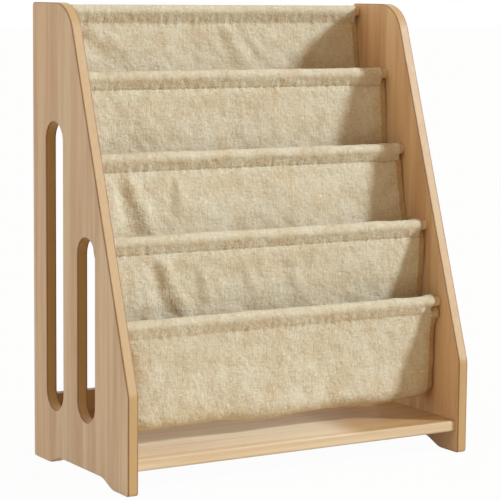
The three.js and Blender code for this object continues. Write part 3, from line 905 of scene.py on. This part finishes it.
def sling_parts(tier):
    """Where each point lies across, how far it is pushed out, the tape's share and half the thickness."""
    line = lines[tier]
    flat_x = columns()[None, :]
    across = flat_x / SLING_HALF
    sleeve = sleeve_share(line, rods[tier + 1], line["ends"], 1)[:, None]
    narrow = sleeve * SLEEVE_INSETS[tier + 1]
    if tier == 0:
        wrap = sleeve_share(line, rods[0], line["starts"], -1)[:, None]
        narrow = narrow + wrap * SLEEVE_INSETS[0]
        sleeve = sleeve + wrap
    narrow = narrow * np.where(flat_x < 0, LEFT_INSET_SHARE, 1)
    x = flat_x * (1 - narrow / SLING_HALF)
    from_edge = SLING_HALF - np.abs(flat_x)
    tape = smooth(TAPE_WIDTH + TAPE_STEP, TAPE_WIDTH - TAPE_STEP, from_edge) * (1 - sleeve)
    half = CLOTH / 2 + TAPE_EXTRA / 2 * tape
    push = folds(tier, flat_x, across, line) + puckers(tier, x, line)
    if tier > 0:
        pressed = smooth(PRESSED_LENGTH, 0, line["steps"])[:, None]
        half = half * (1 - PRESSED_SHARE * pressed)
        push = push + pressed * (CAD_CLOTH + ROD_GAP - CLOTH + PRESSED_SHARE * CLOTH / 2)
    push = clear_of_rod(push, half, line, rods[tier + 1], -1)
    if tier == 0:
        push = clear_of_rod(push, half, line, rods[0], 1)
    return x, push, tape, half


print("cloth:", 1000 * CLOTH, "mm thick, tape:", round(1000 * (CLOTH + TAPE_EXTRA), 2), "mm")

# %% [markdown]
# ## A sheet with two faces
# A single face would show the same side from the front and the back and would have no edge. So each
# point is moved out by half the cloth's thickness for the outer face and in by half for the inner one,
# and a strip closes the rim. The place on the flat cloth and the tape are kept on the points, for the
# finish to use.

# %% Build the sheet
SLEEVE_LEAN = 0.45


def rim(index):
    """The grid's outer points in order."""
    return [*index[0, :], *index[1:, -1], *index[-1, -2::-1], *index[-2:0:-1, 0]]


def sheet_faces(shape):
    """The outer face, the inner face, and the strip round the rim."""
    size = shape[0] * shape[1]
    index = np.arange(size).reshape(shape)
    corners = [index[:-1, :-1], index[:-1, 1:], index[1:, 1:], index[1:, :-1]]
    quads = np.stack(corners, axis=2).reshape(-1, 4)
    ring = [int(point) for point in rim(index)]
    strip = [(a, b, b + size, a + size) for a, b in zip(ring, ring[1:] + ring[:1])]
    return quads[:, ::-1].tolist() + (quads + size).tolist() + strip


def sheet_points(tier):
    """The points of both faces, their places on the flat cloth, and their share of the tape."""
    line = lines[tier]
    x, push, tape, half = sling_parts(tier)
    flat_x, flat_y = np.broadcast_arrays(columns()[None, :], line["steps"][:, None])
    rise = ragged_top(tier, x[0])
    points = []
    flats = []
    for side in (1, -1):
        moved = moved_out(line, push + side * half)
        moved[0] += np.stack([SLEEVE_LEAN * np.clip(rise, 0, None), rise], axis=1)
        points.append(np.stack([x, -moved[:, :, 0], moved[:, :, 1]], axis=2).reshape(-1, 3))
        flats.append(np.stack([flat_x, flat_y, np.full_like(x, side)], axis=2).reshape(-1, 3))
    return x.shape, np.concatenate(points), np.concatenate(flats), np.tile(tape.ravel(), 2)


def sling_mesh(tier):
    shape, points, flats, tape = sheet_points(tier)
    mesh = bpy.data.meshes.new(f"tier_{tier + 1}_cloth")
    mesh.from_pydata(points.tolist(), [], sheet_faces(shape))
    flat_place = mesh.attributes.new("flat_place", "FLOAT_VECTOR", "POINT")
    flat_place.data.foreach_set("vector", flats.astype(np.float32).ravel())
    bound = mesh.attributes.new("tape", "FLOAT", "POINT")
    bound.data.foreach_set("value", tape.astype(np.float32))
    mesh.shade_smooth()
    return mesh


print("rows of each sheet:", [len(line["steps"]) for line in lines])

# %% [markdown]
# ## Linen: the patterns
# The cloth is a thick undyed linen, the colour of oatmeal. Its yarn is uneven: thick places catch the
# light, thin ones leave small dark pits, and little knots of fibre stand out. An image of linen would
# repeat. Noises don't, and stretched along the yarns they look spun. They are worked out on the flat
# cloth, so that the threads follow the cloth round the rod and down into the pocket.

# %% Spin the yarns
THREAD_PITCH = 0.0013
YARN_STRETCH = 0.16
YARN_SCALE = 400.0
YARN_DETAIL = 1.0
NUB_SCALE = 210.0
CLOUD_SCALE = 24.0
CLOUD_DETAIL = 3.0
CLOUD_ROUGHNESS = 0.55


def yarns(finish, flat, axis):
    """Yarns both ways, nubs, and clouds of tone."""
    warp_run = finish.combine(axis["x"], finish.maths("MULTIPLY", axis["y"], YARN_STRETCH), axis["z"])
    weft_run = finish.combine(finish.maths("MULTIPLY", axis["x"], YARN_STRETCH), axis["y"], axis["z"])
    return {
        "warp": finish.noise(warp_run, YARN_SCALE, YARN_DETAIL),
        "weft": finish.noise(weft_run, YARN_SCALE, YARN_DETAIL),
        "nub": finish.noise(flat, NUB_SCALE),
        "cloud": finish.noise(flat, CLOUD_SCALE, CLOUD_DETAIL, CLOUD_ROUGHNESS),
    }


def weave(finish, axis):
    """The threads over and under each other, as a fine chequer."""
    turns = 2 * math.pi / THREAD_PITCH
    wave_x = finish.maths("SINE", finish.maths("MULTIPLY", axis["x"], turns))
    wave_y = finish.maths("SINE", finish.maths("MULTIPLY", axis["y"], turns))
    return finish.maths("MULTIPLY", wave_x, wave_y)


print("threads:", round(0.01 / THREAD_PITCH, 1), "per centimetre")

# %% [markdown]
# ## Linen: the finish
# Light and dark layers follow the patterns, and three bumps lie over each other: the crumple of worn
# cloth, the yarn with its nubs, and the weave. Linen is matt and a little fuzzy, so it is rough, hardly
# shines, and has a touch of sheen. The tape along the side edges is the same cloth, and its browner tone
# is partly its own and partly painted shade, for the dark strip where the cloth meets the boards.

# %% Define the linen finish
LINEN = srgb(217, 206, 180)
LINEN_LIGHT = srgb(236, 227, 204)
LINEN_DARK = srgb(178, 161, 128)
LINEN_WARM = srgb(208, 191, 159)
LINEN_LAYERS = [
    ("cloud", ((0.35, 0.7), 1.0), LINEN_WARM),
    ("nub", ((0.56, 0.74), 0.7), LINEN_LIGHT),
    ("nub", ((0.42, 0.26), 0.6), LINEN_DARK),
    ("warp", ((0.55, 0.76), 0.35), LINEN_LIGHT),
    ("weft", ((0.44, 0.26), 0.3), LINEN_DARK),
]
# Painted shade in part: the tape's browner tone stands for the shade in the corner against the boards.
TAPE_SHADE_TONE = srgb(226, 200, 164)
TAPE_SHADE_LAYER = ((0.3, 0.7), 0.85)
CRUMPLE_SCALE = 80.0
CRUMPLE_BUMP = {"strength": 1.0, "depth": 0.0023}
YARN_BUMP = {"strength": 0.38, "depth": 0.001}
WEAVE_BUMP = {"strength": 0.15, "depth": 0.0002}
NUB_HEIGHT = 1.4


def linen(name):
    finish = Finish(name)
    flat = finish.node("Attribute", {}, output="Vector", attribute_name="flat_place")
    tape = finish.node("Attribute", {}, output="Fac", attribute_name="tape")
    axis = finish.split(flat)
    patterns = yarns(finish, flat, axis)
    colour = LINEN
    for pattern, settings, tone in LINEN_LAYERS:
        colour = finish.layer(colour, patterns[pattern], settings, tone)
    # The tape is darkened, partly as painted shade in the corner against the boards.
    colour = finish.layer(colour, tape, TAPE_SHADE_LAYER, TAPE_SHADE_TONE, "MULTIPLY")
    threads = finish.maths("ADD", patterns["warp"], patterns["weft"])
    yarn = finish.maths("ADD", finish.maths("MULTIPLY", patterns["nub"], NUB_HEIGHT), threads)
    normal = finish.bump(finish.noise(flat, CRUMPLE_SCALE), **CRUMPLE_BUMP)
    normal = finish.bump(yarn, normal=normal, **YARN_BUMP)
    normal = finish.bump(weave(finish, axis), normal=normal, **WEAVE_BUMP)
    return finish.shade(
        Base_Color=colour,
        Roughness=0.92,
        Normal=normal,
        Specular_IOR_Level=0.25,
        Sheen_Weight=0.08,
        Sheen_Roughness=0.5,
    )


linen_finish = linen("linen")
print("linen:", len(linen_finish.node_tree.nodes), "nodes")

# %% [markdown]
# ## One stitch
# A row of stitches closes each sleeve just above its seam. Every stitch is a short length of thread that
# dips into the cloth at both ends. A curve with a round bevel could stand for each, but there are
# hundreds. One small form of five rings is lighter, and it can be copied along the row.

# %% Form a stitch
STITCH_LENGTH = 0.0038
STITCH_RADIUS = 0.00055
STITCH_RINGS = [(-1.0, 0.35), (-0.55, 1.0), (0.0, 1.15), (0.55, 1.0), (1.0, 0.35)]
STITCH_SIDES = 5
STITCH_DIP = 1.2


def stitch_points():
    """Rings of points along a stitch. A ring is its place along the stitch and its size."""
    points = []
    for place, size in STITCH_RINGS:
        for side in range(STITCH_SIDES):
            angle = 2 * math.pi * side / STITCH_SIDES
            lift = STITCH_RADIUS * (size * math.sin(angle) - STITCH_DIP * place * place)
            points.append((place * STITCH_LENGTH / 2, STITCH_RADIUS * size * math.cos(angle), lift))
    return points


def stitch_faces():
    """The faces between the rings, and one at each end."""
    faces = []
    for ring in range(len(STITCH_RINGS) - 1):
        for side in range(STITCH_SIDES):
            a = ring * STITCH_SIDES + side
            b = ring * STITCH_SIDES + (side + 1) % STITCH_SIDES
            faces.append((a, a + STITCH_SIDES, b + STITCH_SIDES, b))
    last = (len(STITCH_RINGS) - 1) * STITCH_SIDES
    faces.append(tuple(range(STITCH_SIDES)))
    faces.append(tuple(last + side for side in reversed(range(STITCH_SIDES))))
    return faces


print("a stitch has", len(stitch_faces()), "faces")

# %% [markdown]
# ## Rows of stitches
# A sewing machine makes even stitches, so the row has one pitch and no chance in it. What makes the row
# look sewn is the cloth below: each stitch rises and sinks with the gathers under it, and leans as the
# sleeve does there.

# %% Sew the seams
STITCH_PITCH = 0.0052
STITCH_RISE = 0.0045
STITCH_MARGIN = 0.004
STITCH_LIFT = 0.0002


def stitch_row(tier, step):
    """Where a row of stitches lies on the outer face of a sling, the way up the cloth, and the way out."""
    line = lines[tier]
    x, push, _, half = sling_parts(tier)
    row = int(np.argmin(np.abs(line["steps"] - step)))
    reach = x[row].max() - STITCH_MARGIN
    places = np.arange(-reach, reach, STITCH_PITCH)
    lifts = np.interp(places, x[row], push[row] + half[row]) + STITCH_LIFT
    out = line["out"][row]
    way = line["place"][row + 1] - line["place"][row]
    way = way / np.linalg.norm(way)
    return [(place, line["place"][row] + out * lift, way, out) for place, lift in zip(places, lifts)]


def stitch_mesh(tier):
    form = stitch_points()
    form_faces = stitch_faces()
    seams = [lines[tier]["ends"] + STITCH_RISE]
    if tier == 0:
        seams.append(lines[0]["starts"] - STITCH_RISE)
    points = []
    faces = []
    for seam in seams:
        for place, spot, way, out in stitch_row(tier, seam):
            first = len(points)
            for a, b, c in form:
                flat = spot + way * b + out * c
                points.append((place + a, -flat[0], flat[1]))
            faces += [tuple(first + point for point in face) for face in form_faces]
    mesh = bpy.data.meshes.new(f"tier_{tier + 1}_stitches")
    mesh.from_pydata(points, [], faces)
    mesh.shade_smooth()
    return mesh


print("stitches in a seam: about", round(2 * SLING_HALF / STITCH_PITCH))

# %% [markdown]
# ## Thread
# The thread is twisted, and nearly the colour of the cloth. Its twist could be modelled, but at this size
# it is only a fine grain, so a small noise gives it two tones and a bump.

# %% Define the thread finish
TWIST_SCALE = 1800.0
TWIST_LAYER = ((0.35, 0.65), 1.0)
TWIST_BUMP = {"strength": 0.4, "depth": 0.0002}
THREAD_DARK = srgb(196, 178, 142)
THREAD_LIGHT = srgb(226, 213, 184)


def thread(name):
    finish = Finish(name)
    twist = finish.noise(finish.node("TexCoord", {}, output="Object"), TWIST_SCALE)
    return finish.shade(
        Base_Color=finish.layer(THREAD_DARK, twist, TWIST_LAYER, THREAD_LIGHT),
        Roughness=0.7,
        Normal=finish.bump(twist, **TWIST_BUMP),
    )


thread_finish = thread("thread")
print("thread:", len(thread_finish.node_tree.nodes), "nodes")

# %% [markdown]
# ## Hang the slings
# Each sheet stands for the plain solid of its tier, and its stitches go with it. Only the cams inside
# the boards move, so all the cloth rides on the bookcase.

# %% Make the slings
BODY = "bookcase"


def add_piece(mesh, finish):
    mesh.materials.append(finish)
    piece = bpy.data.objects.new(mesh.name, mesh)
    bpy.context.scene.collection.objects.link(piece)
    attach(piece, BODY)
    return piece


for tier in range(LOWEST + 1):
    sling = add_piece(sling_mesh(tier), linen_finish)
    stitches = add_piece(stitch_mesh(tier), thread_finish)
    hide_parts(f"tier_{tier + 1}_sling")

# %% [markdown]
# The cloth may stand a little proud of the packed model and nothing else may.
